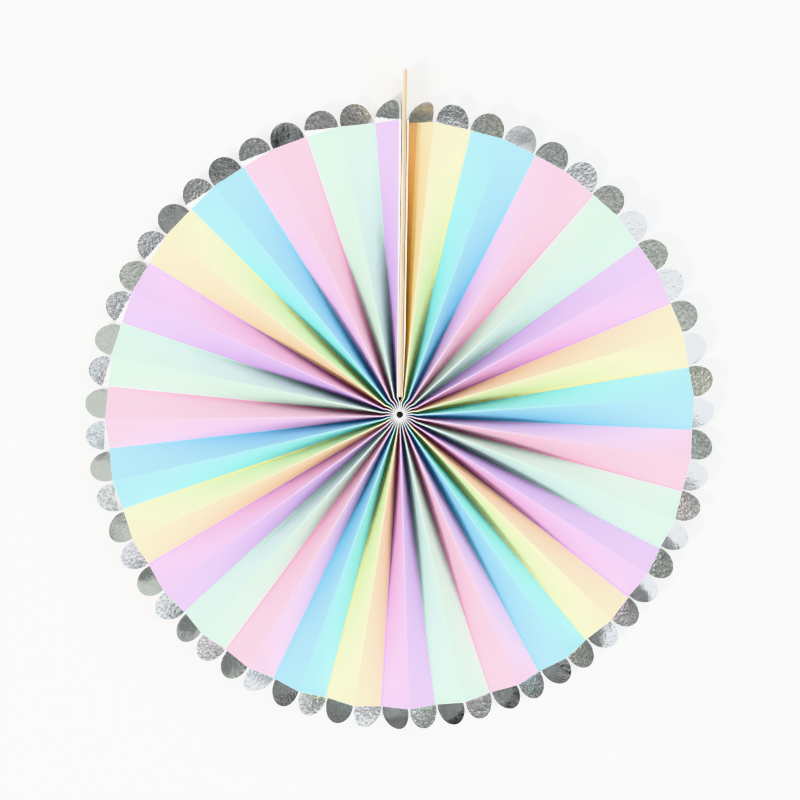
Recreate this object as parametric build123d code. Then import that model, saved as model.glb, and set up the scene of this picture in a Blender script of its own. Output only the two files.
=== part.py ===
from build123d import *
import os
from math import asin, cos, pi, sin, sqrt

# A paper fan rosette: one sheet pleated like an accordion and pulled round into a full disc, closed by two
# stiff hanger boards taped face to face. Millimetres, +Z up. The fan hangs in the XZ plane with its printed
# side towards -Y. The origin is the centre of the hanging hole. Angles are in radians, clockwise from the
# top as seen from the front.

# The sheet
fan_radius = 150.0  # fan centre to the straight printed edge where the scallops begin
panel_width = 19.0  # one panel between two folds, laid flat
rim_spread = 0.85  # share of its width that an average panel covers round the rim
paper_thickness = 0.15
fold_gap = 0.05  # between the two layers of a fold pressed shut
hub_packing = 1.2  # room for each fold round the hub's hole, as a share of a fold pressed shut
top_stretch = 0.12  # how much wider than average the panels open at the top, and narrower at the foot
end_share = 0.8  # opening of the first and last visible panel, as a share of its neighbour's
bend_steps = 5  # straight steps that each gently curved fold is made of

# The scallops, one at the end of each panel
scallop_gap = 0.6  # between two scallops of the flat sheet
scallop_rise = 2.0  # centre of the scallop's circle beyond the printed edge

# The hanger boards and their tape
board_thickness = 1.0
board_gap = 2.3  # boards' lower end beyond the thread's punched holes
head_rise = 26.0  # boards' top above the printed edge
head_corner = 4.0  # radius of the boards' top corners
tape_thickness = 0.1
tape_margin = 1.0  # tape edge inside the board's edge
hole_radius = 2.0
hole_drop = 6.0  # hanging hole below the boards' top
glue_gap = 0.05  # glue line between a board and its end panel
end_gap = 0.2  # between the two end panels below the boards

# The thread through the inner folds
thread_radius = 0.4
thread_ring = 6.0  # fan centre to the thread
thread_clearance = 0.3  # round the thread in its punched holes
punch_margin = 0.5  # flat paper round each punched hole

# Sizes that follow from the ones above
centre_z = -(fan_radius + head_rise - hole_drop)
full_pleats = int(pi * fan_radius / (panel_width * rim_spread))
visible_panels = 2 * full_pleats + 1
panels = visible_panels + 2  # the first and the last lie flat against the boards
half_paper = paper_thickness / 2
fold_width = paper_thickness + fold_gap  # between the middles of the two layers of a fold
hub_radius = panels * fold_width * hub_packing / (2 * pi)
punch_radius = thread_radius + thread_clearance
board_start = thread_ring + punch_radius + board_gap
board_face = tape_thickness / 2 + board_thickness
seated_sheet = board_face + glue_gap + half_paper  # middle of an end panel, beside the seam
closed_sheet = half_paper + end_gap / 2  # the same below the boards, where the end panels meet
scallop_radius = (panel_width - scallop_gap) / 2
scallop_foot = sqrt(scallop_radius**2 - scallop_rise**2)  # half the scallop's chord on the printed edge
stations = [hub_radius, board_start]
stations += [fan_radius * sin(pi / 2 * step / bend_steps) for step in range(1, bend_steps + 1)]


def radial(angle):
    """Direction from the fan's centre at this angle."""
    return Vector(sin(angle), 0, cos(angle))


def fold_angles(reach):
    """Angle of every fold at this distance from the centre, between the two folds beside the boards."""
    beside_seam = seated_sheet if reach >= board_start else closed_sheet
    first = asin(beside_seam / reach) + fold_width / (2 * reach)
    step = 1 / (visible_panels - 2 + 2 * end_share)
    turns = [0.0] + [step * (end_share + panel) for panel in range(visible_panels - 1)] + [1.0]
    return [first + 2 * (pi - first) * turn + top_stretch * sin(2 * pi * turn) for turn in turns]


def fold_points(reach):
    """Middle of the sheet along its zigzag, from one end edge to the other, with two points at every fold.
    The folds are deep at the hub and grow shallower where the panels open."""
    angles = fold_angles(reach)
    half_fold = fold_width / (2 * reach)
    points = [radial(angles[0] - half_fold) * reach + Vector(0, -panel_width / 2, centre_z)]
    for index, angle in enumerate(angles):
        side = -1 if index % 2 else 1
        depth = panel_width
        if 0 < index < visible_panels:
            opening = reach * (angles[index + 1] - angles[index - 1]) / 2 - fold_width
            depth = sqrt(panel_width**2 - opening**2)
        shift = Vector(0, side * depth / 2, centre_z)
        points += [radial(angle + way * half_fold) * reach + shift for way in (-1, 1)]
    points.append(radial(angles[-1] + half_fold) * reach + Vector(0, panel_width / 2, centre_z))
    return points


class Row:
    """The sheet cut across at one distance from the centre: even stretches are panels, odd ones are folds."""

    def __init__(self, reach):
        points = fold_points(reach)
        pairs = list(zip(points, points[1:]))
        self.middles = [(start + end) / 2 for start, end in pairs]
        self.across = [(end - start).normalized() for start, end in pairs]
        self.outwards = [Vector(middle.X, 0, middle.Z - centre_z).normalized() for middle in self.middles]
        self.normals = [across.cross(away).normalized() for across, away in zip(self.across, self.outwards)]
        ways = [self.normals[0]] + self.normals + [self.normals[-1]]
        mitres = [(one + other) * (half_paper / (1 + one.dot(other))) for one, other in zip(ways, ways[1:])]
        self.front = [point + mitre for point, mitre in zip(points, mitres)]
        self.back = [point - mitre for point, mitre in zip(points, mitres)]


def facet(*corners):
    """Flat triangular face."""
    return Face(Wire.make_polygon(corners))


def quad(a, b, c, d):
    """Two facets that fill a four-cornered outline, taken in order."""
    return [facet(a, b, c), facet(a, c, d)]


def plain_stretch(inner, outer, index):
    """Front and back of one panel or fold between two rows."""
    faces = []
    for near, far in ((inner.front, outer.front), (inner.back, outer.back)):
        faces += quad(near[index], near[index + 1], far[index + 1], far[index])
    return faces


def punched_stretch(inner, outer, index):
    """Front and back of one panel with a flat square round the thread's hole, and the hole's wall."""
    share = (thread_ring - hub_radius) / (board_start - hub_radius)
    middle = inner.middles[index] + (outer.middles[index] - inner.middles[index]) * share
    normal = (inner.normals[index] + outer.normals[index]).normalized()
    reach = punch_radius + punch_margin
    corners = ((-reach, -reach), (reach, -reach), (reach, reach), (-reach, reach))
    faces = []
    for near, far, way in ((inner.front, outer.front, 1), (inner.back, outer.back, -1)):
        plane = Plane(middle + normal * (way * half_paper), x_dir=inner.across[index], z_dir=normal)
        square = [plane.from_local_coords(corner) for corner in corners]
        outline = [near[index], near[index + 1], far[index + 1], far[index]]
        for side in range(4):
            after = (side + 1) % 4
            faces += quad(outline[side], outline[after], square[after], square[side])
        hole = Edge.make_circle(punch_radius, plane)
        faces.append(Face(Wire.make_polygon(square), [Wire([hole])]))
    faces.append(Face.extrude(hole, normal * paper_thickness))
    return faces


def scalloped_stretch(inner, outer, index):
    """The last stretch of one panel, up to the printed edge, and the scallop that stands on it."""
    normal, foot = outer.normals[index], outer.across[index] * scallop_foot
    tip = outer.outwards[index] * (scallop_rise + scallop_radius)
    faces, feet = [], []
    for near, far, way in ((inner.front, outer.front, 1), (inner.back, outer.back, -1)):
        middle = outer.middles[index] + normal * (way * half_paper)
        left, right = middle - foot, middle + foot
        faces += [facet(near[index], far[index], left), facet(near[index], left, right)]
        faces += [facet(near[index], right, near[index + 1]), facet(near[index + 1], right, far[index + 1])]
        arc = Edge.make_three_point_arc(left, middle + tip, right)
        faces.append(Face(Wire([arc, Edge.make_line(right, left)])))
        feet.append((far[index], left, right, far[index + 1]))
    front, back = feet
    faces += quad(front[0], front[1], back[1], back[0]) + quad(front[2], front[3], back[3], back[2])
    faces.append(Face.extrude(arc, normal * paper_thickness))
    return faces


def cut_edge(row, index):
    """The sheet's thickness seen end on across one stretch of a row."""
    return quad(row.front[index], row.front[index + 1], row.back[index + 1], row.back[index])


def end_edges(inner, outer):
    """The sheet's two end edges along the seam, between two rows."""
    faces = []
    for end in (0, -1):
        faces += quad(inner.front[end], inner.back[end], outer.back[end], outer.front[end])
    return faces


def make_sheet():
    """The pleated sheet as one solid, punched for the thread and scalloped along its rim."""
    rows = [Row(reach) for reach in stations]
    stretches = range(2 * panels - 1)
    faces = []
    for inner, outer in zip(rows, rows[1:]):
        faces += end_edges(inner, outer)
        for index in stretches:
            build = plain_stretch
            if index % 2 == 0 and inner is rows[0]:
                build = punched_stretch
            if index % 2 == 0 and outer is rows[-1]:
                build = scalloped_stretch
            faces += build(inner, outer, index)
    for index in stretches:
        faces += cut_edge(rows[0], index)
        if index % 2:
            faces += cut_edge(rows[-1], index)
    return Solid(Shell(faces))


def make_ring(radius):
    """Ring round the fan's centre, halfway through its depth."""
    plane = Plane(origin=(0, 0, centre_z), z_dir=(0, 1, 0))
    return plane * Torus(thread_ring, radius)


def make_strip(inset, start_x, thickness):
    """Upright strip between two planes of X, with its hanging hole and rounded head."""
    top, bottom = centre_z + fan_radius + head_rise - inset, centre_z + board_start + inset
    width = panel_width - 2 * inset
    outline = Plane.YZ * Pos(0, (top + bottom) / 2) * Rectangle(width, top - bottom)
    outline = fillet(outline.vertices().group_by(Axis.Z)[-1], head_corner)
    strip = extrude(Pos(start_x, 0, 0) * outline, thickness, dir=(1, 0, 0))
    return strip - Rot(0, 90, 0) * Cylinder(hole_radius, 4 * board_face)


os.makedirs("parts", exist_ok=True)
nodes = {
    "pleated_paper": make_sheet(),
    "left_board": make_strip(0, -board_face, board_thickness),
    "right_board": make_strip(0, tape_thickness / 2, board_thickness),
    "seam_tape": make_strip(tape_margin, -tape_thickness / 2, tape_thickness),
    "binding_thread": make_ring(thread_radius),
}
for name, shape in nodes.items():
    export_step(shape, f"parts/{name}.step")
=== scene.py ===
"""Looks of a paper fan rosette, built round its packed construction model.

Everything is in metres in the model's own frame: the fan hangs in the XZ plane with its printed side towards
-Y, +Z is up, and the origin is the centre of the hanging hole. Angles run clockwise from the top, as seen
from the front.
"""

import logging
import math
import random
from dataclasses import dataclass
from enum import Enum

import bpy
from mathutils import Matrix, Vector, noise


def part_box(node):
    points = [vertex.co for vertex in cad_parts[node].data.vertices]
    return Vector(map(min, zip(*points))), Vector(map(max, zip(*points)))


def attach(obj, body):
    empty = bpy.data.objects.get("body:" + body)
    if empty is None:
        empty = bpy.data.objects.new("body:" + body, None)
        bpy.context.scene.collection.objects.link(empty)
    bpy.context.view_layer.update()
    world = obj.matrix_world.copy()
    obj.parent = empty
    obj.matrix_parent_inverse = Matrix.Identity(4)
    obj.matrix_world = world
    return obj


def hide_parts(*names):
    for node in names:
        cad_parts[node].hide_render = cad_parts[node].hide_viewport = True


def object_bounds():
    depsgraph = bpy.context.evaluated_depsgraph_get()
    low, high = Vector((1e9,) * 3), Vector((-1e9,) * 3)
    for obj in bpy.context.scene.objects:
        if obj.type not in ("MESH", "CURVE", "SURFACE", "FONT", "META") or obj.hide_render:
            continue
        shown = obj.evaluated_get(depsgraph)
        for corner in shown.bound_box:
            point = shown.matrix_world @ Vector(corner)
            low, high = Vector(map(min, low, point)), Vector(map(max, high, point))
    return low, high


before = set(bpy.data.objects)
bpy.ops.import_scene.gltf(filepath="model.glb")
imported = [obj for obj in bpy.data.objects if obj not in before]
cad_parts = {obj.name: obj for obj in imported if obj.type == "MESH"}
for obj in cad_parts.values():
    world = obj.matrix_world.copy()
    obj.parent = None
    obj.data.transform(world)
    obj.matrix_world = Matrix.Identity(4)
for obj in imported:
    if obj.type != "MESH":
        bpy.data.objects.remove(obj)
CAD_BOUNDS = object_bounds()
LOG = logging.getLogger("paper_fan")
MM = 0.001
SLACK = 1e-6  # what counts as no distance, in metres or in panels

Socket = bpy.types.NodeSocket
Tree = bpy.types.NodeTree
Material = bpy.types.Material
Rgb = tuple[float, float, float]
Span = tuple[float, float]
FoldPoints = tuple[Vector, Vector, Vector]  # the end of one panel, the fold's middle, the next one's start

BLACK: Rgb = (0.0, 0.0, 0.0)
WHITE: Rgb = (1.0, 1.0, 1.0)


class Stripe(Enum):
    """The five print colours, in the order in which they follow each other round the fan."""

    YELLOW = (0.92, 0.85, 0.57)
    BLUE = (0.40, 0.76, 0.86)
    PINK = (0.91, 0.62, 0.76)
    MINT = (0.61, 0.79, 0.68)
    LILAC = (0.73, 0.53, 0.80)


class Face(Enum):
    """Material slots of the pleated sheet, in their order. The second pair is the sheet's back."""

    PRINT = 0
    FOIL = 1
    BACK = 2
    FOIL_BACK = 3


class Nodes:
    """Small helper that lays out shader nodes in one node tree."""

    def __init__(self, tree: Tree) -> None:
        """Start on a tree.

        Args:
            tree: The node tree of a material, a world or a node group.
        """
        self.tree = tree

    def add(self, kind: str, **settings: object) -> bpy.types.Node:
        """Add a node.

        Args:
            kind: The node's class name in bpy.types.
            settings: Properties to set on it.

        Returns:
            The new node.
        """
        node = self.tree.nodes.new(kind)
        for name, value in settings.items():
            setattr(node, name, value)
        return node

    def link(self, source: Socket, target: Socket) -> None:
        """Join an output to an input."""
        self.tree.links.new(source, target)

    def feed(self, value: object, target: Socket) -> None:
        """Give an input its value: another node's output, or a constant."""
        if isinstance(value, Socket):
            self.link(value, target)
        else:
            target.default_value = value

    def math(self, operation: str, *values: object, clamp: bool = False) -> Socket:
        """Add a Math node.

        Args:
            operation: The node's operation.
            values: Its inputs, in order: outputs of other nodes or numbers.
            clamp: Whether the result is held between 0 and 1.

        Returns:
            The result.
        """
        node = self.add("ShaderNodeMath", operation=operation, use_clamp=clamp)
        for value, target in zip(values, node.inputs):
            self.feed(value, target)
        return node.outputs[0]

    def ramp(self, value: Socket, low: float, high: float, start: float = 0.0,
             end: float = 1.0) -> Socket:
        """Add a smooth Map Range node.

        Args:
            value: What is mapped.
            low: Value that gives start.
            high: Value that gives end.
            start: Result at low.
            end: Result at high.

        Returns:
            The mapped value.
        """
        node = self.add("ShaderNodeMapRange", interpolation_type="SMOOTHSTEP")
        for number, target in zip((value, low, high, start, end), node.inputs):
            self.feed(number, target)
        return node.outputs[0]

    def mix(self, share: object, one: object, other: object, blend: str = "MIX") -> Socket:
        """Add a colour Mix node.

        Args:
            share: How much of the second colour, from 0 to 1.
            one: First colour.
            other: Second colour.
            blend: The node's blend type.

        Returns:
            The mixed colour.
        """
        node = self.add("ShaderNodeMix", data_type="RGBA", blend_type=blend)
        sockets = (0, 6, 7)  # the share and the two colours
        for value, index in zip((share, one, other), sockets):
            self.feed(value, node.inputs[index])
        return node.outputs[2]

    def split(self, vector: Socket) -> list[Socket]:
        """Take a vector apart into its X, Y and Z."""
        node = self.add("ShaderNodeSeparateXYZ")
        self.link(vector, node.inputs[0])
        return list(node.outputs)

    def noise(self, vector: Socket, scale: object, detail: float = 2.0,
              roughness: float = 0.5) -> Socket:
        """Add a Noise Texture node.

        Args:
            vector: Where it is read.
            scale: Its scale.
            detail: Its octaves.
            roughness: How strong the finer octaves are.

        Returns:
            The noise, about 0.5 on average.
        """
        node = self.add("ShaderNodeTexNoise")
        self.link(vector, node.inputs["Vector"])
        self.feed(scale, node.inputs["Scale"])
        node.inputs["Detail"].default_value = detail
        node.inputs["Roughness"].default_value = roughness
        return node.outputs["Fac"]

    def group(self, tree: Tree, **inputs: object) -> bpy.types.Node:
        """Place a node group and feed its inputs.

        Args:
            tree: The group.
            inputs: Values or outputs for its inputs, by name, with _ for a space.

        Returns:
            The group's node.
        """
        node = self.add("ShaderNodeGroup", node_tree=tree)
        for name, value in inputs.items():
            self.feed(value, node.inputs[name.replace("_", " ")])
        return node


def opaque(colour: Rgb) -> tuple[float, float, float, float]:
    """The colour with an alpha of one, as colour sockets take it."""
    return (*colour, 1.0)


def blank_nodes(owner: Material | bpy.types.World) -> Nodes:
    """Give a material or a world an empty node tree.

    Args:
        owner: The material or the world.

    Returns:
        The helper on its tree.
    """
    owner.use_nodes = True
    owner.node_tree.nodes.clear()
    return Nodes(owner.node_tree)


def new_group(name: str, inputs: dict[str, float], outputs: list[str]) -> tuple[Nodes, dict, dict]:
    """Make an empty shader node group with float sockets.

    Args:
        name: The group's name.
        inputs: Its inputs and their default values. An input whose name ends in "place" is a vector.
        outputs: Its outputs.

    Returns:
        The helper on its tree, its inputs as sockets inside the group, and its outputs likewise.
    """
    tree = bpy.data.node_groups.new(name, "ShaderNodeTree")
    for label, value in inputs.items():
        kind = "NodeSocketVector" if label.endswith("place") else "NodeSocketFloat"
        socket = tree.interface.new_socket(label, in_out="INPUT", socket_type=kind)
        if kind == "NodeSocketFloat":
            socket.default_value = value
    for label in outputs:
        tree.interface.new_socket(label, in_out="OUTPUT", socket_type="NodeSocketFloat")
    nodes = Nodes(tree)
    source = nodes.add("NodeGroupInput")
    result = nodes.add("NodeGroupOutput")
    return nodes, {s.name: s for s in source.outputs if s.name}, {s.name: s for s in result.inputs if s.name}


@dataclass(frozen=True)
class FibreGrain:
    """Fine fibre tooth of paper and board, as a height and a tone."""

    fine_height: float = 0.6
    broad_height: float = 0.4
    broad_scale: float = 0.09  # as a share of the fine scale
    mottle: Span = (0.25, 0.75)  # broad noise between which the tone changes
    name: str = "fibre_grain"

    def build(self) -> Tree:
        """Make the group.

        Returns:
            The group, with inputs Fibre place, Scale and Stretch and outputs Height and Tone.
        """
        nodes, given, results = new_group(
            self.name, {"Fibre place": 0.0, "Scale": 900.0, "Stretch": 1.0}, ["Height", "Tone"]
        )
        stretch = nodes.add("ShaderNodeCombineXYZ")
        for axis in (0, 1):
            stretch.inputs[axis].default_value = 1.0
        nodes.link(given["Stretch"], stretch.inputs[2])
        placed = nodes.add("ShaderNodeVectorMath", operation="MULTIPLY")
        nodes.link(given["Fibre place"], placed.inputs[0])
        nodes.link(stretch.outputs[0], placed.inputs[1])
        fine = nodes.noise(placed.outputs[0], given["Scale"], 3.0, 0.6)
        broad = nodes.noise(placed.outputs[0], nodes.math("MULTIPLY", given["Scale"], self.broad_scale))
        fine_part = nodes.math("MULTIPLY", fine, self.fine_height)
        broad_part = nodes.math("MULTIPLY", broad, self.broad_height)
        nodes.link(nodes.math("ADD", fine_part, broad_part), results["Height"])
        nodes.link(nodes.ramp(broad, *self.mottle), results["Tone"])
        return nodes.tree


@dataclass(frozen=True)
class FoldLines:
    """Where on the sheet a point lies: how near a ridge, how near a valley, and how deep in the pleat."""

    panels: int
    panel_width: float
    line_width: Span = (0.08 * MM, 0.22 * MM)  # a fold's line, at its narrowest and widest
    ragged_scale: float = 55.0
    line_edge: Span = (0.5, 1.2)  # in line widths
    deep_reach: Span = (0.03, 0.95)  # reach over which the pleats grow shallow
    ridge_depth: float = 0.25  # how deep a ridge counts, where a valley counts 1
    name: str = "fold_lines"

    def build(self) -> Tree:
        """Make the group. It reads the sheet's own coordinates: panels across, and reach from the hub.

        Returns:
            The group, with inputs Across and Reach and outputs Ridge, Valley and Depth.
        """
        nodes, given, results = new_group(
            self.name, {"Across": 0.0, "Reach": 1.0}, ["Ridge", "Valley", "Depth"]
        )
        turn = nodes.math("PINGPONG", given["Across"], 1.0)
        wobble = nodes.add("ShaderNodeCombineXYZ")
        nodes.link(given["Across"], wobble.inputs[0])
        nodes.link(given["Reach"], wobble.inputs[1])
        ragged = nodes.noise(wobble.outputs[0], self.ragged_scale, 2.0, 0.7)
        width = nodes.ramp(ragged, 0.3, 0.75, *self.line_width)
        ridge_gap = nodes.math("MULTIPLY", turn, self.panel_width)
        valley_gap = nodes.math("MULTIPLY", nodes.math("SUBTRACT", 1.0, turn), self.panel_width)
        for gap, label in ((ridge_gap, "Ridge"), (valley_gap, "Valley")):
            near = nodes.math("DIVIDE", gap, width)
            nodes.link(nodes.ramp(near, *self.line_edge, 1.0, 0.0), results[label])
        # Depth drives the painted shade in the printed paper's valleys and round the hub.
        inward = nodes.ramp(given["Reach"], *self.deep_reach, 1.0, 0.0)
        deep = nodes.math("MULTIPLY_ADD", turn, 1.0 - self.ridge_depth, self.ridge_depth)
        nodes.link(nodes.math("MULTIPLY", deep, inward), results["Depth"])
        return nodes.tree


@dataclass(frozen=True)
class Effects:
    """The node groups that several materials share."""

    grain: Tree
    folds: Tree


@dataclass(frozen=True)
class Finish:
    """A finish: a material's name and the effects it may use."""

    name: str
    effects: Effects

    def start(self) -> tuple[Material, Nodes, bpy.types.Node]:
        """Make the material with its shader and output.

        Returns:
            The material, the helper on its tree, and its Principled BSDF.
        """
        material = bpy.data.materials.new(self.name)
        nodes = blank_nodes(material)
        shader = nodes.add("ShaderNodeBsdfPrincipled")
        output = nodes.add("ShaderNodeOutputMaterial")
        nodes.link(shader.outputs[0], output.inputs[0])
        return material, nodes, shader

    @staticmethod
    def object_place(nodes: Nodes) -> Socket:
        """Object coordinates, for grain that has no direction on the sheet."""
        return nodes.add("ShaderNodeTexCoord").outputs["Object"]

    @staticmethod
    def roughen(nodes: Nodes, height: Socket, rough: Span, shader: bpy.types.Node) -> None:
        """Let the shader's roughness follow a height.

        Args:
            nodes: The helper on the material's tree.
            height: The height, which lies mostly between 0.3 and 0.7.
            rough: Roughness in the hollows and on the tops.
            shader: The Principled BSDF.
        """
        nodes.link(nodes.ramp(height, 0.3, 0.7, *rough), shader.inputs["Roughness"])

    @staticmethod
    def bump(nodes: Nodes, height: Socket, depth: float, shader: bpy.types.Node,
             strength: float = 1.0) -> None:
        """Feed a height to the shader's normal.

        Args:
            nodes: The helper on the material's tree.
            height: The height, from 0 to 1.
            depth: What a height of 1 stands for, in metres.
            shader: The Principled BSDF.
            strength: The Bump node's strength.
        """
        node = nodes.add("ShaderNodeBump")
        node.inputs["Strength"].default_value = strength
        node.inputs["Distance"].default_value = depth
        nodes.link(height, node.inputs["Height"])
        nodes.link(node.outputs[0], shader.inputs["Normal"])


@dataclass(frozen=True)
class SheetFinish(Finish):
    """A finish of the pleated sheet, which follows the sheet's own coordinates."""

    panels: int
    uv_name: str

    def sheet_place(self, nodes: Nodes) -> tuple[Socket, Socket]:
        """Read the sheet's coordinates.

        Args:
            nodes: The helper on the material's tree.

        Returns:
            Position across in panels, and reach from the hub from 0 to 1.
        """
        layer = nodes.add("ShaderNodeUVMap", uv_map=self.uv_name)
        share, reach, _ = nodes.split(layer.outputs[0])
        return nodes.math("MULTIPLY", share, float(self.panels)), reach


@dataclass(frozen=True)
class PrintedPaper(SheetFinish):
    """Coated paper printed in stripes two panels wide, worn white along its ridges, with painted shade in its
    valleys, a painted shadow beside the boards and a painted glow round the hub.
    """

    print_shift: float = 0.05  # panels by which the print runs past each valley fold
    board_shadow_end: float = 1.36  # panels that the painted shadow of the boards reaches, beside them
    board_shadow_edge: float = 0.05  # panels over which it fades
    # how strongly the painted shadow beside the boards darkens the ink
    board_shadow_strength: float = 0.72
    margin: float = 0.07  # panels left unprinted along the seam
    margin_edge: float = 0.8  # share of the margin that is wholly white
    wear_reach: Span = (0.1, 0.7)  # reach over which the ridges' wear lessens
    ridge_wear: Span = (0.4, 0.12)
    packed_reach: Span = (0.016, 0.042)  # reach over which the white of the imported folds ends
    packed_white: float = 0.8
    painted_glow_reach: Span = (0.08, 0.5)
    painted_glow_strength: float = 0.03  # painted glow: emission that stands in for light coming through the paper round the hub
    valley_shade_gamma: float = 1.2  # painted shade: what the deepest valley adds to the ink's gamma
    mottle: Span = (0.965, 1.0)
    grain_scale: float = 1400.0
    grain_depth: float = 0.03 * MM
    rough: Span = (0.5, 0.66)
    specular: float = 0.35
    # tan-orange of the painted shadow beside the boards
    painted_board_shadow: Rgb = (0.88, 0.60, 0.40)
    core: Rgb = (0.93, 0.93, 0.92)

    def build(self) -> Material:
        """Make the material.

        Returns:
            The printed paper.
        """
        material, nodes, shader = self.start()
        across, reach = self.sheet_place(nodes)
        place = self.object_place(nodes)
        folds = nodes.group(self.effects.folds, Across=across, Reach=reach)
        grain = nodes.group(self.effects.grain, Fibre_place=place, Scale=self.grain_scale)
        ink = self.stripes(nodes, across)
        ink = self.paint_valley_shade_and_mottle(nodes, ink, folds.outputs["Depth"], grain.outputs["Tone"])
        # Painted shadow of the boards, cast on the first panel beside them.
        board_shadow_fade = (self.board_shadow_end, self.board_shadow_end + self.board_shadow_edge)
        board_shadow_mask = nodes.ramp(across, *board_shadow_fade, self.board_shadow_strength, 0.0)
        ink = nodes.mix(board_shadow_mask, ink, opaque(self.painted_board_shadow), "MULTIPLY")
        wear = nodes.ramp(reach, *self.wear_reach, *self.ridge_wear)
        worn = nodes.math("MULTIPLY", folds.outputs["Ridge"], wear)
        worn = nodes.math("MAXIMUM", worn, self.seam_margins(nodes, across))
        worn = nodes.math("MAXIMUM", worn, nodes.ramp(reach, *self.packed_reach, self.packed_white, 0.0))
        nodes.link(nodes.mix(worn, ink, opaque(self.core)), shader.inputs["Base Color"])
        # Painted glow: the print emits a little of its own colour round the hub.
        painted_glow_mask = nodes.ramp(reach, *self.painted_glow_reach, self.painted_glow_strength, 0.0)
        nodes.link(nodes.mix(painted_glow_mask, opaque(BLACK), ink), shader.inputs["Emission Color"])
        shader.inputs["Emission Strength"].default_value = 1.0
        shader.inputs["Specular IOR Level"].default_value = self.specular
        self.roughen(nodes, grain.outputs["Height"], self.rough, shader)
        self.bump(nodes, grain.outputs["Height"], self.grain_depth, shader, 0.6)
        return material

    def seam_margins(self, nodes: Nodes, across: Socket) -> Socket:
        """Find the unprinted margins along the sheet's first edge and the last ridge, beside the boards.

        Args:
            nodes: The helper on the material's tree.
            across: Position across, in panels.

        Returns:
            A mask that is one on the margins.
        """
        last_ridge = nodes.math("ABSOLUTE", nodes.math("SUBTRACT", across, float(self.panels - 1)))
        nearest = nodes.math("MINIMUM", across, last_ridge)
        return nodes.ramp(nearest, self.margin * self.margin_edge, self.margin, 1.0, 0.0)

    def stripes(self, nodes: Nodes, across: Socket) -> Socket:
        """Choose the print colour from the position across the sheet.

        Args:
            nodes: The helper on the material's tree.
            across: Position across, in panels.

        Returns:
            The print's colour.
        """
        shifted = nodes.math("SUBTRACT", across, 1.0 + self.print_shift)
        stripe = nodes.math("FLOOR", nodes.math("MULTIPLY", shifted, 0.5))
        stripe = nodes.math("MODULO", nodes.math("MAXIMUM", stripe, 0.0), float(len(Stripe)))
        chosen = nodes.math("DIVIDE", nodes.math("ADD", stripe, 0.5), float(len(Stripe)))
        ramp = nodes.add("ShaderNodeValToRGB")
        ramp.color_ramp.interpolation = "CONSTANT"
        points = ramp.color_ramp.elements
        while len(points) < len(Stripe):
            points.new(0.5)
        for index, colour in enumerate(Stripe):
            points[index].position = index / len(Stripe)
            points[index].color = opaque(colour.value)
        nodes.link(chosen, ramp.inputs[0])
        return ramp.outputs[0]

    def paint_valley_shade_and_mottle(self, nodes: Nodes, ink: Socket, depth: Socket,
                  tone: Socket) -> Socket:
        """Paint shade into the ink, darker and fuller towards the valleys and the hub, with a faint mottle.

        Args:
            nodes: The helper on the material's tree.
            ink: The print's colour.
            depth: How deep in the pleat a point lies.
            tone: The paper's broad mottle.

        Returns:
            The shaded colour.
        """
        # Painted shade: the ink's gamma rises towards the valleys and the hub, so it darkens and saturates
        # where shade falls.
        shaded_ink = nodes.add("ShaderNodeGamma")
        nodes.link(ink, shaded_ink.inputs[0])
        nodes.link(nodes.math("MULTIPLY_ADD", depth, self.valley_shade_gamma, 1.0), shaded_ink.inputs[1])
        mottle = nodes.ramp(tone, 0.0, 1.0, *self.mottle)
        faded = nodes.add("ShaderNodeCombineColor")
        for channel in faded.inputs:
            nodes.link(mottle, channel)
        return nodes.mix(1.0, shaded_ink.outputs[0], faded.outputs[0], "MULTIPLY")


@dataclass(frozen=True)
class PlainPaper(SheetFinish):
    """Unprinted white back and cut edges of the sheet."""

    colour: Rgb = (0.86, 0.86, 0.85)
    shade: Rgb = (0.78, 0.78, 0.78)
    pressed: Rgb = (0.6, 0.6, 0.6)
    pressed_share: float = 0.25  # how far the folds' lines take that colour
    grain_scale: float = 1100.0
    grain_depth: float = 0.04 * MM
    rough: Span = (0.68, 0.85)

    def build(self) -> Material:
        """Make the material.

        Returns:
            The plain paper.
        """
        material, nodes, shader = self.start()
        across, reach = self.sheet_place(nodes)
        folds = nodes.group(self.effects.folds, Across=across, Reach=reach)
        place = self.object_place(nodes)
        grain = nodes.group(self.effects.grain, Fibre_place=place, Scale=self.grain_scale)
        paper = nodes.mix(grain.outputs["Tone"], opaque(self.shade), opaque(self.colour))
        pressed = nodes.math("MULTIPLY", folds.outputs["Valley"], self.pressed_share)
        nodes.link(nodes.mix(pressed, paper, opaque(self.pressed)), shader.inputs["Base Color"])
        self.roughen(nodes, grain.outputs["Height"], self.rough, shader)
        self.bump(nodes, grain.outputs["Height"], self.grain_depth, shader, 0.7)
        return material


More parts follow.
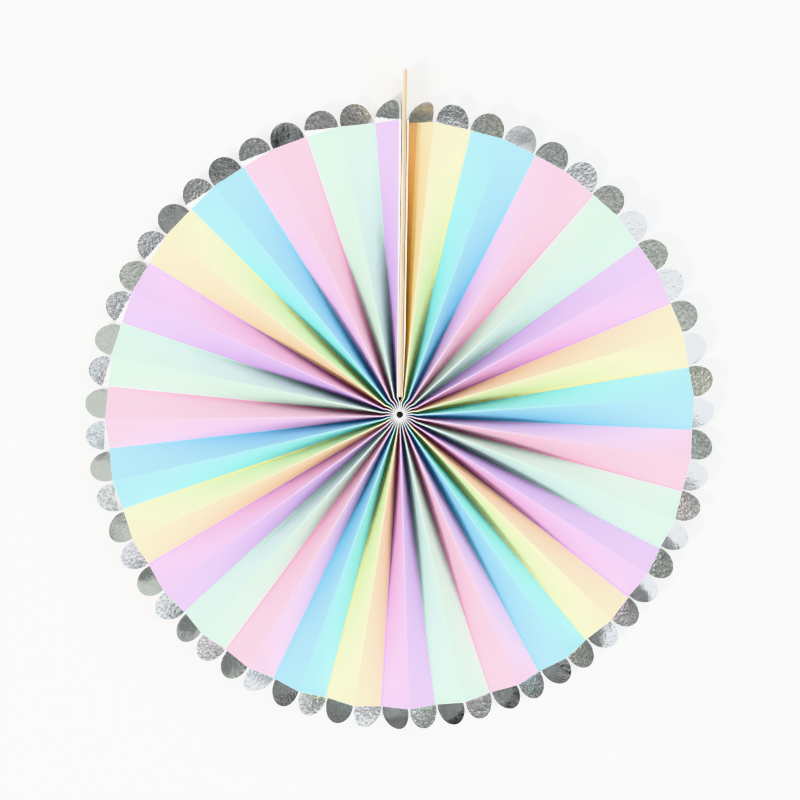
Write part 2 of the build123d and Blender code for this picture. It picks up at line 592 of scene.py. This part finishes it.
@dataclass(frozen=True)
class SilverFoil(SheetFinish):
    """Hot-stamped silver foil, finely crazed over the paper's tooth, more on some scallops than on others,
    with a painted white reflection on the feet of every other scallop.
    """

    fan_radius: float
    full_reach: float  # from the hub to a scallop's tip
    foot: float = 3.6 * MM  # how far past the printed edge the painted reflection reaches at most
    foot_edge: Span = (1.1, 1.2)  # over which the painted reflection's ragged edge ends, in feet
    reflection_ragged: float = 0.5  # how ragged that edge is, in feet
    reflection_side: Span = (0.66, 0.8)  # share of the panels over which such feet set in
    first_crazing: float = 0.6  # added on the first of two scallops
    own_crazing: Span = (0.08, 0.4)  # what a scallop has of its own
    fine_scale: float = 1500.0
    fine_height: float = 0.4
    crease_scale: float = 560.0
    crease_height: float = 1.9
    wave_scale: float = 90.0
    relief: float = 0.6 * MM
    gloss: Span = (0.1, 0.2)
    reflection_rough: float = 0.7
    silver: Rgb = (0.86, 0.88, 0.87)
    dulled: Rgb = (0.66, 0.68, 0.66)
    # white of the painted reflection
    painted_reflection: Rgb = (0.9, 0.9, 0.9)

    def build(self) -> Material:
        """Make the material.

        Returns:
            The foil.
        """
        material, nodes, shader = self.start()
        across, reach = self.sheet_place(nodes)
        place = self.object_place(nodes)
        own = nodes.add("ShaderNodeTexWhiteNoise", noise_dimensions="1D")
        nodes.link(nodes.math("FLOOR", across), own.inputs["W"])
        first = nodes.math("MODULO", nodes.math("FLOOR", across), 2.0)
        own_part = nodes.ramp(own.outputs["Value"], 0.2, 0.9, *self.own_crazing)
        crazed = nodes.math("MULTIPLY_ADD", first, self.first_crazing, own_part)
        fine = nodes.noise(place, self.fine_scale, 2.0, 0.6)
        creased = nodes.noise(place, self.crease_scale, 2.0, 0.6)
        fine_part = nodes.math("MULTIPLY", fine, self.fine_height)
        height = nodes.math("ADD", fine_part, nodes.math("MULTIPLY", creased, self.crease_height))
        height = nodes.math("MULTIPLY", height, crazed)
        height = nodes.math("ADD", height, nodes.noise(place, self.wave_scale, 1.0))
        # Darker foil in the creases, most on every other scallop: partly dulled foil, partly a painted darker
        # reflection.
        crease_dulling = nodes.math("MULTIPLY", nodes.ramp(creased, 0.42, 0.58), crazed)
        foil = nodes.mix(crease_dulling, opaque(self.silver), opaque(self.dulled))
        # Painted reflection: a slanting matt white foot, without metal, on every other scallop over the last
        # third of the fan.
        drift = nodes.ramp(across, *(self.panels * share for share in self.reflection_side))
        painted_reflection = nodes.math("MULTIPLY", self.painted_reflection_foot(nodes, across, reach, creased), first)
        painted_reflection = nodes.math("MULTIPLY", painted_reflection, drift)
        nodes.link(nodes.mix(painted_reflection, foil, opaque(self.painted_reflection)), shader.inputs["Base Color"])
        gloss = nodes.ramp(creased, 0.3, 0.7, *self.gloss)
        matt = nodes.math("MULTIPLY", painted_reflection, self.reflection_rough)
        nodes.link(nodes.math("MAXIMUM", gloss, matt), shader.inputs["Roughness"])
        nodes.link(nodes.math("SUBTRACT", 1.0, painted_reflection), shader.inputs["Metallic"])
        self.bump(nodes, height, self.relief, shader)
        return material

    def painted_reflection_foot(self, nodes: Nodes, across: Socket, reach: Socket,
                  ragged: Socket) -> Socket:
        """Find the slanting foot of a scallop where a white reflection is painted.

        Args:
            nodes: The helper on the material's tree.
            across: Position across, in panels.
            reach: Reach from the hub, from 0 to 1.
            ragged: A noise for the painted reflection's ragged edge.

        Returns:
            A mask that is one where the white reflection is painted, as matt white paper.
        """
        past_edge = nodes.math("SUBTRACT", reach, self.fan_radius / self.full_reach)
        beyond = nodes.math("DIVIDE", past_edge, self.foot / self.full_reach)
        slanted = nodes.math("ADD", beyond, nodes.math("FRACT", across))
        reflection_ragged = nodes.math("MULTIPLY_ADD", ragged, self.reflection_ragged, slanted)
        return nodes.ramp(reflection_ragged, *self.foot_edge, 1.0, 0.0)


@dataclass(frozen=True)
class Greyboard(Finish):
    """Pressed fibre board, tan and streaked along its length."""

    pale: Rgb = (0.50, 0.38, 0.24)
    brown: Rgb = (0.42, 0.31, 0.19)
    speck: Rgb = (0.4, 0.3, 0.2)
    speck_scale: float = 1800.0
    speck_noise: Span = (0.62, 0.7)  # noise above which a speck shows
    speck_share: float = 0.5
    grain_scale: float = 2600.0
    streak: float = 0.12  # scale along the board, as a share of the scale across it
    grain_depth: float = 0.06 * MM
    rough: Span = (0.75, 0.92)

    def build(self) -> Material:
        """Make the material.

        Returns:
            The board.
        """
        material, nodes, shader = self.start()
        place = self.object_place(nodes)
        grain = nodes.group(
            self.effects.grain, Fibre_place=place, Scale=self.grain_scale, Stretch=self.streak
        )
        specks = nodes.ramp(nodes.noise(place, self.speck_scale), *self.speck_noise, 0.0, self.speck_share)
        board = nodes.mix(grain.outputs["Tone"], opaque(self.brown), opaque(self.pale))
        nodes.link(nodes.mix(specks, board, opaque(self.speck)), shader.inputs["Base Color"])
        self.roughen(nodes, grain.outputs["Height"], self.rough, shader)
        self.bump(nodes, grain.outputs["Height"], self.grain_depth, shader, 0.8)
        return material


@dataclass(frozen=True)
class AdhesiveTape(Finish):
    """Milky double-sided tape with a little dust in patches."""

    milky: Rgb = (0.86, 0.84, 0.76)
    dusty: Rgb = (0.6, 0.56, 0.48)
    dust_scale: float = 700.0
    dust_noise: Span = (0.45, 0.7)
    most_dust: float = 0.4
    rough: Span = (0.3, 0.6)  # clean and dusty

    def build(self) -> Material:
        """Make the material.

        Returns:
            The tape.
        """
        material, nodes, shader = self.start()
        patches = nodes.noise(self.object_place(nodes), self.dust_scale, 3.0)
        dust = nodes.ramp(patches, *self.dust_noise, 0.0, self.most_dust)
        nodes.link(nodes.mix(dust, opaque(self.milky), opaque(self.dusty)), shader.inputs["Base Color"])
        nodes.link(nodes.ramp(dust, 0.0, self.most_dust, *self.rough), shader.inputs["Roughness"])
        return material


@dataclass(frozen=True)
class CottonThread(Finish):
    """Spun thread: pale plies that wind round the ring, with painted shade in the grooves between them."""

    centre_z: float  # height of the ring's centre
    cotton: Rgb = (0.88, 0.86, 0.82)
    groove_shade: Rgb = (0.66, 0.63, 0.58)
    twist_turns: float = 48.0
    slant: float = 3000.0  # radians that a ply's pattern turns per metre of depth
    ply_depth: float = 0.15 * MM
    rough: Span = (0.9, 0.75)  # between the plies and on them

    def build(self) -> Material:
        """Make the material.

        Returns:
            The thread.
        """
        material, nodes, shader = self.start()
        centred = nodes.add("ShaderNodeMapping")
        centred.inputs["Location"].default_value = (0.0, 0.0, -self.centre_z)
        nodes.link(self.object_place(nodes), centred.inputs[0])
        x, y, z = nodes.split(centred.outputs[0])
        round_ring = nodes.math("ARCTAN2", x, z)
        slant = nodes.math("MULTIPLY", y, self.slant)
        phase = nodes.math("ADD", nodes.math("MULTIPLY", round_ring, self.twist_turns), slant)
        ply = nodes.math("MULTIPLY_ADD", nodes.math("SINE", phase), 0.5, 0.5)
        # Painted shade: darker between the plies.
        nodes.link(nodes.mix(ply, opaque(self.groove_shade), opaque(self.cotton)), shader.inputs["Base Color"])
        nodes.link(nodes.ramp(ply, 0.0, 1.0, *self.rough), shader.inputs["Roughness"])
        self.bump(nodes, ply, self.ply_depth, shader)
        return material


@dataclass(frozen=True)
class SheetPoint:
    """A point of the sheet laid flat."""

    panel: int
    share: float  # across its panel, from 0 to 1
    row: int  # 0 at the hub
    reach: float  # from the hub, in metres


@dataclass
class PleatedSheet:
    """The printed sheet, pleated and pulled round into a disc, with its foil scallops."""

    centre_z: float
    fan_radius: float = 150.0 * MM
    panel_width: float = 19.0 * MM
    visible_panels: int = 59
    paper: float = 0.15 * MM
    fold_width: float = 0.18 * MM
    hub_radius: float = 1.75 * MM
    board_start: float = 9.0 * MM
    parting: float = 0.7  # where the end panels begin to part, as a share of the boards' start
    seated: float = 1.175 * MM  # middle of an end panel, beside the boards
    closed: float = 0.175 * MM  # the same at the hub
    top_stretch: float = 0.12
    end_share: float = 0.8
    seam_lift: float = 0.5 * MM  # how far the ridge beside the left board stands off it at the rim
    lift_growth: float = 0.7  # power with which that grows outwards
    curl: float = 1.7 * MM  # width of the free front edge that curls away from the right board
    curl_turn: float = 1.4  # radians through which it curls
    curl_ease: float = 3.0  # how far beyond the boards' start it takes to ease in, in board starts
    seam_tilt: float = -0.5  # radians by which the scallops beside the boards curl back
    scallop_gap: float = 0.7 * MM
    scallop_rise: float = 2.0 * MM
    angle_stray: float = 0.0022  # radians
    depth_stray: float = 0.02  # as a share of a fold's depth
    bow: float = 0.16 * MM
    tilt: float = 0.13  # radians
    buckle: float = 0.22 * MM
    buckle_steps: tuple[float, float, float] = (3.7, 28.0, 0.8)  # noise per panel, metre of reach and share
    bow_growth: float = 1.5  # power with which bows and buckles grow outwards
    crowding: float = 1.5  # power with which the rows crowd towards the hub
    smooth_angle: float = math.radians(32)
    body_rows: int = 20
    scallop_rows: int = 3
    scallop_columns: int = 18
    uv_name: str = "flat_sheet"
    seed: int = 61

    def __post_init__(self) -> None:
        """Work out what follows from the sizes, and how each fold and scallop strays from an even one."""
        self.panels = self.visible_panels + 2
        self.scallop_radius = (self.panel_width - self.scallop_gap) / 2
        self.scallop_foot = math.sqrt(self.scallop_radius**2 - self.scallop_rise**2)
        self.full_reach = self.fan_radius + self.scallop_rise + self.scallop_radius
        self.fold_share = self.fold_width / 2 / self.panel_width
        self.foot_share = 0.5 - self.scallop_foot / self.panel_width
        chance = random.Random(self.seed)
        inner = range(1, self.visible_panels)
        self.angle_strays = [0.0] + [chance.gauss(0.0, self.angle_stray) for _ in inner] + [0.0]
        self.depth_strays = [1.0] + [1.0 + chance.gauss(0.0, self.depth_stray) for _ in inner] + [1.0]
        self.bows = [chance.gauss(0.0, self.bow) for _ in range(self.panels)]
        self.tilts = [chance.gauss(0.0, self.tilt) for _ in range(self.panels)]
        self.bows[0] = self.bows[-1] = self.tilts[0] = self.tilts[-1] = 0.0
        self.tilts[1] = self.tilts[-2] = self.seam_tilt

    def reaches(self) -> list[float]:
        """Distances of the rows from the hub, close together near it, with one where the boards begin."""
        span = self.fan_radius - self.hub_radius
        steps = [(row / self.body_rows) ** self.crowding for row in range(self.body_rows + 1)]
        rows = [self.hub_radius + span * step for step in steps]
        nearest = min(range(len(rows)), key=lambda row: abs(rows[row] - self.board_start))
        rows[nearest] = self.board_start
        return rows

    def shares(self) -> list[float]:
        """Positions of the columns across one panel, from its first fold to just before its second."""
        steps = range(self.scallop_columns + 1)
        foot = self.foot_share
        across = [foot + (1 - 2 * foot) * step / self.scallop_columns for step in steps]
        return [0.0, self.fold_share, *across, 1.0 - self.fold_share]

    def seam_offset(self, reach: float) -> float:
        """Distance of an end panel from the fan's middle plane.

        Args:
            reach: Distance from the hub.

        Returns:
            The closed offset round the hub, easing into the seated one just before the boards begin.
        """
        opening = self.board_start * self.parting
        share = min(1.0, max(0.0, reach - opening) / (self.board_start - opening))
        return self.closed + (self.seated - self.closed) * share * share * (3 - 2 * share)

    def fold_angles(self, reach: float) -> list[float]:
        """Angles of the folds, from the one behind the right board to the one before the left board.

        Args:
            reach: Distance from the hub.

        Returns:
            The angles in radians.
        """
        first = math.asin(self.seam_offset(reach) / reach) + self.fold_width / (2 * reach)
        step = 1 / (self.visible_panels - 2 + 2 * self.end_share)
        turns = [0.0] + [step * (self.end_share + panel) for panel in range(self.visible_panels - 1)] + [1.0]
        loose = min(1.0, reach / self.fan_radius)
        angles = []
        for turn, stray in zip(turns, self.angle_strays):
            even = first + 2 * (math.pi - first) * turn
            angles.append(even + self.top_stretch * math.sin(2 * math.pi * turn) + stray * loose)
        return angles

    def fold_row(self, reach: float) -> list[FoldPoints]:
        """Every fold at one reach: where the panel before it ends, its own middle, where the next begins.

        Args:
            reach: Distance from the hub.

        Returns:
            One triple a fold, with the sheet's two end edges as the first and the last.
        """
        angles = self.fold_angles(reach)
        half = self.fold_width / (2 * reach)
        row = [self.end_edge(angles[0] - half, reach, -1)]
        for index, angle in enumerate(angles):
            depth = self.panel_width
            if 0 < index < self.visible_panels:
                opening = reach * (angles[index + 1] - angles[index - 1]) / 2 - self.fold_width
                depth = math.sqrt(max(0.0, self.panel_width**2 - opening**2)) * self.depth_strays[index]
                depth = min(depth, self.panel_width)
            y = depth / 2 * (-1 if index % 2 else 1)
            row.append(tuple(self.polar(angle + way * half, reach, y) for way in (-1, 0, 1)))
        row.append(self.end_edge(angles[-1] + half, reach, 1))
        lift = Vector((self.seam_lift * (reach / self.fan_radius) ** self.lift_growth, 0.0, 0.0))
        row[-2] = tuple(point - lift for point in row[-2])
        return row

    def end_edge(self, angle: float, reach: float, way: int) -> FoldPoints:
        """One free end edge of the sheet, which has no width of its own."""
        edge = self.polar(angle, reach, way * self.panel_width / 2)
        return (edge, edge, edge)

    def polar(self, angle: float, reach: float, y: float) -> Vector:
        """Point at an angle and a reach from the hub, at a depth y."""
        return Vector((math.sin(angle) * reach, y, self.centre_z + math.cos(angle) * reach))

    def build(self, finishes: dict[Face, Material]) -> bpy.types.Object:
        """Model the sheet: a flat grid, cut to its scallops, folded, and given its thickness.

        Args:
            finishes: One material for each slot.

        Returns:
            The finished sheet.
        """
        flat, points = self.flat_sheet()
        for slot in Face:
            flat.data.materials.append(finishes[slot])
        self.cut_scallops(flat, points)
        self.fold_up(flat, points)
        self.thicken(flat)
        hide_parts("pleated_paper")
        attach(flat, "root")
        return flat

    def flat_sheet(self) -> tuple[bpy.types.Object, list[SheetPoint]]:
        """Lay out the sheet as a grid, with the columns and rows that the folds and scallops need.

        Returns:
            The grid, and where each of its vertices lies on the flat sheet.
        """
        shares, reaches = self.shares(), self.reaches()
        columns = len(shares) * self.panels
        rows = self.body_rows + self.scallop_rows
        bpy.ops.object.select_all(action="DESELECT")
        bpy.ops.mesh.primitive_grid_add(x_subdivisions=columns, y_subdivisions=rows, size=1.0)
        flat = bpy.context.object
        flat.name = flat.data.name = "printed_sheet"
        bpy.ops.object.mode_set(mode="EDIT")
        bpy.ops.mesh.select_mode(type="FACE")
        bpy.ops.mesh.select_all(action="DESELECT")
        bpy.ops.object.mode_set(mode="OBJECT")
        points = []
        for vertex in flat.data.vertices:
            column = round((vertex.co.x + 0.5) * columns)
            row = round((vertex.co.y + 0.5) * rows)
            panel, place = divmod(column, len(shares))
            share = shares[place]
            if panel == self.panels:
                panel, share = self.panels - 1, 1.0
            points.append(SheetPoint(panel, share, row, reaches[min(row, self.body_rows)]))
        return flat, points

    def scallop_place(self, point: SheetPoint) -> tuple[float, float]:
        """Where a point beyond the printed edge lies on its flat scallop.

        Args:
            point: The point.

        Returns:
            Distance across from the scallop's middle, and distance beyond the printed edge.
        """
        across = (point.share - 0.5) * self.panel_width
        spread = min(1.0, max(-1.0, across / self.scallop_foot))
        turn = spread * (math.pi / 2 + math.asin(self.scallop_rise / self.scallop_radius))
        out = (point.row - self.body_rows) / self.scallop_rows
        arc_x = self.scallop_radius * math.sin(turn)
        arc_y = self.scallop_rise + self.scallop_radius * math.cos(turn)
        return across + (arc_x - across) * out, arc_y * out

    def cut_scallops(self, flat: bpy.types.Object, points: list[SheetPoint]) -> None:
        """Select the notches between the scallops for cutting, mark the foil, and store the sheet's
        coordinates.

        Args:
            flat: The flat grid.
            points: Where its vertices lie.
        """
        mesh = flat.data
        layer = mesh.uv_layers[0]
        layer.name = self.uv_name
        for loop in mesh.loops:
            point = points[loop.vertex_index]
            across, reach = point.panel + point.share, point.reach
            if point.row > self.body_rows:
                x, y = self.scallop_place(point)
                across, reach = point.panel + 0.5 + x / self.panel_width, self.fan_radius + y
            layer.data[loop.index].uv = (across / self.panels, reach / self.full_reach)
        foot = self.foot_share - SLACK
        for face in mesh.polygons:
            corners = [points[index] for index in face.vertices]
            shares = [corner.share for corner in corners]
            beyond = max(corner.row for corner in corners) > self.body_rows
            face.material_index = Face.FOIL.value if beyond else Face.PRINT.value
            over_fold = len({corner.panel for corner in corners}) > 1
            notch = over_fold or min(shares) < foot or max(shares) > 1 - foot
            face.select = beyond and notch

    def fold_up(self, flat: bpy.types.Object, points: list[SheetPoint]) -> None:
        """Fold the flat sheet and pull it round, then drop the notches and close the scallops' feet.

        Args:
            flat: The flat grid.
            points: Where its vertices lie.
        """
        rows = [self.fold_row(reach) for reach in self.reaches()]
        for vertex, point in zip(flat.data.vertices, points):
            vertex.co = self.folded_place(rows, point)
        bpy.ops.object.mode_set(mode="EDIT")
        bpy.ops.mesh.delete(type="FACE")
        bpy.ops.mesh.select_all(action="SELECT")
        bpy.ops.mesh.remove_doubles(threshold=SLACK)
        bpy.ops.object.mode_set(mode="OBJECT")

    def folded_place(self, rows: list[list[FoldPoints]], point: SheetPoint) -> Vector:
        """Where a point of the flat sheet comes to lie.

        Args:
            rows: The folds, row by row.
            point: The point of the flat sheet.

        Returns:
            Its place in the finished fan.
        """
        row = rows[min(point.row, self.body_rows)]
        start, end = row[point.panel][2], row[point.panel + 1][0]
        fold = self.fold_share
        middle = (start + end) / 2
        across = (end - start).normalized()
        outwards = Vector((middle.x, 0.0, middle.z - self.centre_z)).normalized()
        normal = across.cross(outwards).normalized()
        if point.row > self.body_rows:
            x, y = self.scallop_place(point)
            lift = math.tan(self.tilts[point.panel]) * y * y / (self.scallop_radius * 2)
            return middle + across * x + outwards * y + normal * lift
        if point.panel == 0 and point.share * self.panel_width < self.curl:
            return self.curled_place(start.lerp(end, point.share), point)
        if point.share < fold:
            return row[point.panel][1].lerp(start, point.share / fold)
        if point.share > 1 - fold:
            return end.lerp(row[point.panel + 1][1], (point.share - 1 + fold) / fold)
        share = (point.share - fold) / (1 - 2 * fold)
        place = start.lerp(end, share)
        return place + normal * self.paper_bow(point.panel, share, point.reach)

    def curled_place(self, flat: Vector, point: SheetPoint) -> Vector:
        """Where a point of the sheet's first edge lies once that edge has curled off the right board.

        Args:
            flat: Its place on the flat end panel.
            point: The point of the flat sheet.

        Returns:
            Its place on the curl, which eases in beyond the hub.
        """
        along = self.curl - point.share * self.panel_width
        turn = self.curl_turn * along / self.curl
        radius = self.curl / self.curl_turn
        ease = min(1.0, max(0.0, (point.reach - self.board_start) / (self.curl_ease * self.board_start)))
        shift = Vector((radius * (1 - math.cos(turn)), along - radius * math.sin(turn), 0.0))
        return flat + shift * ease

    def paper_bow(self, panel: int, share: float, reach: float) -> float:
        """How far the paper stands off the flat panel: a slight bow across it and soft buckles along it.

        Args:
            panel: The panel's number.
            share: Position across, from 0 to 1.
            reach: Distance from the hub.

        Returns:
            The distance along the panel's normal.
        """
        if panel in (0, self.panels - 1):
            return 0.0
        loose = (reach / self.fan_radius) ** self.bow_growth
        held = 4 * share * (1 - share)
        spot = Vector([step * size for step, size in zip((panel, reach, share), self.buckle_steps)])
        return (self.bows[panel] + noise.noise(spot) * self.buckle) * held * loose

    def thicken(self, flat: bpy.types.Object) -> None:
        """Give the folded sheet its thickness, with the plain back and cut edges in their own slots."""
        bpy.context.view_layer.objects.active = flat
        bpy.ops.object.modifier_add(type="SOLIDIFY")
        shell = flat.modifiers[-1]
        shell.thickness = self.paper
        shell.offset = 0.0
        shell.material_offset = Face.BACK.value
        shell.material_offset_rim = Face.BACK.value
        bpy.ops.object.modifier_apply(modifier=shell.name)
        bpy.ops.object.shade_smooth_by_angle(angle=self.smooth_angle)


@dataclass
class HangerSeam:
    """The two boards, their tape and the thread, whose construction nodes keep their shape."""

    finishes: dict[str, Material]

    def dress(self) -> list[bpy.types.Object]:
        """Dress the nodes.

        Returns:
            The dressed nodes.
        """
        dressed = []
        for name, material in self.finishes.items():
            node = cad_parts[name]
            for slot in node.material_slots:
                slot.material = material
            dressed.append(node)
        return dressed


@dataclass
class Studio:
    """Pale wall and floor, soft lights before and behind the fan, and the camera in front of it."""

    low: Vector
    high: Vector
    wall_gap: float = 0.003
    floor_drop: float = 1.1
    span: float = 6.0
    lens: float = 120.0
    sensor: float = 36.0
    sight: float = 50.0  # how far the camera sees, in metres
    fill: float = 0.83  # share of the frame that the fan's height takes
    roll: float = 0.9  # degrees by which the fan leans to the right
    glow: float = 1.05
    wall_white: Rgb = (0.86, 0.86, 0.86)
    painted_hub_shadow: Rgb = (0.03, 0.03, 0.03)  # painted shadow on the wall behind the hub, where the hole shows the wall
    hub_shadow_edge: Span = (0.02, 0.1)  # in the fan's half height, as the halo is
    halo: Span = (0.95, 1.25)
    halo_glow: Span = (0.03, 0.24)  # painted glow of the wall, faint at the rim and stronger beyond it
    floor_white: Rgb = (0.82, 0.82, 0.82)
    pale_floor: Rgb = (1.12, 1.14, 1.20)  # this and all that follows is what the foil mirrors
    dim_room: Rgb = (0.05, 0.055, 0.055)
    grey_room: Rgb = (0.48, 0.48, 0.48)
    grey_ceiling: Rgb = (0.68, 0.71, 0.66)
    floor_edge: Span = (-0.75, -0.35)
    ceiling_edge: Span = (0.45, 0.78)
    floor_lean: float = -0.45  # makes its edge rise to the right
    ceiling_lean: float = -0.1
    patch_scale: float = 2.6
    patch_depth: float = 0.7
    furniture_scale: float = 4.0
    furniture: Span = (0.44, 0.54)

    def build(self) -> None:
        """Set the stage, the lights, the world and the camera."""
        scene = bpy.context.scene
        scene.view_settings.view_transform = "Khronos PBR Neutral"
        back = self.high.y + self.wall_gap
        wall_place = (0.0, back, self.low.z + self.span / 2 - self.floor_drop)
        floor_place = (0.0, back - self.span / 2, self.low.z - self.floor_drop)
        self.add_surface("wall", wall_place, (math.pi / 2, 0.0, 0.0), self.wall_material())
        self.add_surface("floor", floor_place, (0.0, 0.0, 0.0), self.floor_material())
        self.add_light("key", (-1.05, -1.85, -0.85), 0.34, 38.0, (1.0, 0.985, 0.96))
        self.add_light("fill", (1.1, -2.1, 0.85), 1.7, 34.0, (0.97, 0.99, 1.0))
        self.add_light("behind", (-0.7, 2.0, 0.7), 1.5, 22.0, WHITE)
        self.add_world()
        self.add_camera()

    def add_surface(self, name: str, place: tuple[float, float, float], turn: tuple[float, float, float],
                    material: Material) -> None:
        """Add one plane of the stage.

        Args:
            name: Its name.
            place: Its centre.
            turn: Its rotation.
            material: Its material.
        """
        bpy.ops.object.select_all(action="DESELECT")
        bpy.ops.mesh.primitive_plane_add(size=self.span, location=place, rotation=turn)
        plane = bpy.context.object
        plane.name = name
        plane.data.materials.append(material)
        plane.visible_glossy = False

    def wall_material(self) -> Material:
        """White wall with a painted shadow behind the hub and a painted glow beyond the fan. It lets light
        through, and a view from behind.
        """
        material = bpy.data.materials.new("studio_wall")
        nodes = blank_nodes(material)
        rim = (self.high.z - self.low.z) / 2
        white = nodes.add("ShaderNodeBsdfDiffuse")
        centred = nodes.add("ShaderNodeVectorMath", operation="SUBTRACT")
        nodes.link(nodes.add("ShaderNodeTexCoord").outputs["Object"], centred.inputs[0])
        centred.inputs[1].default_value = (0.0, rim + self.floor_drop - self.span / 2, 0.0)
        apart = nodes.add("ShaderNodeVectorMath", operation="LENGTH")
        nodes.link(centred.outputs[0], apart.inputs[0])
        distance = apart.outputs["Value"]
        glow = nodes.add("ShaderNodeEmission")
        halo = nodes.ramp(distance, *(rim * share for share in self.halo), *self.halo_glow)
        nodes.link(halo, glow.inputs["Strength"])
        # Painted shadow: the wall is dark and unlit behind the hub.
        unlit = nodes.ramp(distance, *(rim * share for share in self.hub_shadow_edge), 1.0, 0.0)
        nodes.link(nodes.mix(unlit, opaque(self.wall_white), opaque(self.painted_hub_shadow)), white.inputs[0])
        nodes.link(nodes.mix(unlit, opaque(WHITE), opaque(BLACK)), glow.inputs["Color"])
        lit = nodes.add("ShaderNodeAddShader")
        nodes.link(white.outputs[0], lit.inputs[0])
        nodes.link(glow.outputs[0], lit.inputs[1])
        clear = nodes.add("ShaderNodeBsdfTransparent")
        side = nodes.add("ShaderNodeNewGeometry")
        either = nodes.add("ShaderNodeMixShader")
        ray = nodes.add("ShaderNodeLightPath")
        passed = nodes.math("MAXIMUM", side.outputs["Backfacing"], ray.outputs["Is Shadow Ray"])
        nodes.link(passed, either.inputs[0])
        nodes.link(lit.outputs[0], either.inputs[1])
        nodes.link(clear.outputs[0], either.inputs[2])
        output = nodes.add("ShaderNodeOutputMaterial")
        nodes.link(either.outputs[0], output.inputs[0])
        return material

    def floor_material(self) -> Material:
        """Plain pale floor."""
        material = bpy.data.materials.new("studio_floor")
        material.use_nodes = True
        shader = material.node_tree.nodes["Principled BSDF"]
        shader.inputs["Base Color"].default_value = opaque(self.floor_white)
        shader.inputs["Roughness"].default_value = 0.9
        return material

    def add_light(self, name: str, place: tuple[float, float, float], size: float, power: float,
                  colour: Rgb) -> None:
        """Add a soft light that faces the fan's centre.

        Args:
            name: Its name.
            place: Where it stands, from the fan's centre.
            size: Side of its square panel.
            power: Its power in watts.
            colour: Its colour.
        """
        centre = (self.low + self.high) / 2
        data = bpy.data.lights.new(name, "AREA")
        data.size, data.energy, data.color = size, power, colour
        light = bpy.data.objects.new(name, data)
        light.location = centre + Vector(place)
        light.rotation_euler = (centre - light.location).to_track_quat("-Z", "Y").to_euler()
        light.visible_glossy = False
        bpy.context.scene.collection.objects.link(light)

    def add_world(self) -> None:
        """Pale surroundings, where the foil mirrors a white floor, a dim room and a grey ceiling."""
        world = bpy.data.worlds.new("studio")
        bpy.context.scene.world = world
        nodes = blank_nodes(world)
        way = nodes.add("ShaderNodeTexCoord").outputs["Generated"]
        x, _, z = nodes.split(way)
        patchy = nodes.math("SUBTRACT", nodes.noise(way, self.patch_scale), 0.5)
        height = nodes.math("MULTIPLY_ADD", patchy, self.patch_depth, z)
        floor_height = nodes.math("MULTIPLY_ADD", x, self.floor_lean, height)
        ceiling_height = nodes.math("MULTIPLY_ADD", x, self.ceiling_lean, height)
        below = nodes.ramp(floor_height, *self.floor_edge, 1.0, 0.0)
        above = nodes.ramp(ceiling_height, *self.ceiling_edge)
        furnished = nodes.ramp(nodes.noise(way, self.furniture_scale), *self.furniture)
        room = nodes.mix(furnished, opaque(self.dim_room), opaque(self.grey_room))
        room = nodes.mix(below, room, opaque(self.pale_floor))
        room = nodes.mix(above, room, opaque(self.grey_ceiling))
        mirrored = nodes.add("ShaderNodeBackground")
        nodes.link(room, mirrored.inputs["Color"])
        glow = nodes.add("ShaderNodeBackground")
        glow.inputs["Color"].default_value = opaque(WHITE)
        glow.inputs["Strength"].default_value = self.glow
        ray = nodes.add("ShaderNodeLightPath")
        either = nodes.add("ShaderNodeMixShader")
        nodes.link(ray.outputs["Is Glossy Ray"], either.inputs[0])
        nodes.link(glow.outputs[0], either.inputs[1])
        nodes.link(mirrored.outputs[0], either.inputs[2])
        output = nodes.add("ShaderNodeOutputWorld")
        nodes.link(either.outputs[0], output.inputs[0])

    def add_camera(self) -> None:
        """Add the camera straight in front of the fan."""
        centre = (self.low + self.high) / 2
        data = bpy.data.cameras.new("camera")
        data.lens, data.sensor_width, data.clip_end = self.lens, self.sensor, self.sight
        camera = bpy.data.objects.new("camera", data)
        height = (self.high.z - self.low.z) / self.fill
        camera.location = (centre.x, self.low.y - height * self.lens / data.sensor_width, centre.z)
        camera.rotation_euler = (math.pi / 2, -math.radians(self.roll), 0.0)
        bpy.context.scene.collection.objects.link(camera)
        bpy.context.scene.camera = camera


def make_finishes(
    sheet: PleatedSheet,
) -> tuple[dict[Face, Material], dict[str, Material]]:
    """Build every material.

    Args:
        sheet: The sheet, whose sizes the patterns follow.

    Returns:
        The sheet's materials by slot, and the seam's by node name.
    """
    effects = Effects(FibreGrain().build(), FoldLines(sheet.panels, sheet.panel_width).build())
    laid = (effects, sheet.panels, sheet.uv_name)
    plain = PlainPaper("plain_paper_back", *laid).build()
    on_sheet = {
        Face.PRINT: PrintedPaper("printed_paper_front", *laid).build(),
        Face.FOIL: SilverFoil("silver_foil", *laid, sheet.fan_radius, sheet.full_reach).build(),
        Face.BACK: plain,
        Face.FOIL_BACK: plain,
    }
    # Painted light: the two boards are lit and shaded copies of one board, the left one lighter, the right
    # one darker tan.
    lit_board = Greyboard("greyboard_painted_lit", effects, pale=(0.70, 0.62, 0.48), brown=(0.60, 0.51, 0.38))
    on_seam = {
        "left_board": lit_board.build(),
        "right_board": Greyboard("greyboard_painted_shade", effects).build(),
        "seam_tape": AdhesiveTape("seam_tape", effects).build(),
        "binding_thread": CottonThread("cotton_thread", effects, sheet.centre_z).build(),
    }
    return on_sheet, on_seam


def main() -> None:
    """Build the fan and its stage."""
    logging.basicConfig(level=logging.INFO, format="%(name)s: %(message)s")
    ring_low, ring_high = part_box("binding_thread")
    sheet = PleatedSheet(centre_z=(ring_low.z + ring_high.z) / 2)
    on_sheet, on_seam = make_finishes(sheet)
    printed = sheet.build(on_sheet)
    LOG.info("%s: %d faces", printed.name, len(printed.data.polygons))
    for node in HangerSeam(on_seam).dress():
        LOG.info("%s dressed in %s", node.name, node.data.materials[0].name)
    low, high = (Vector(corner) for corner in CAD_BOUNDS)
    Studio(low, high).build()


if __name__ == "__main__":
    main()
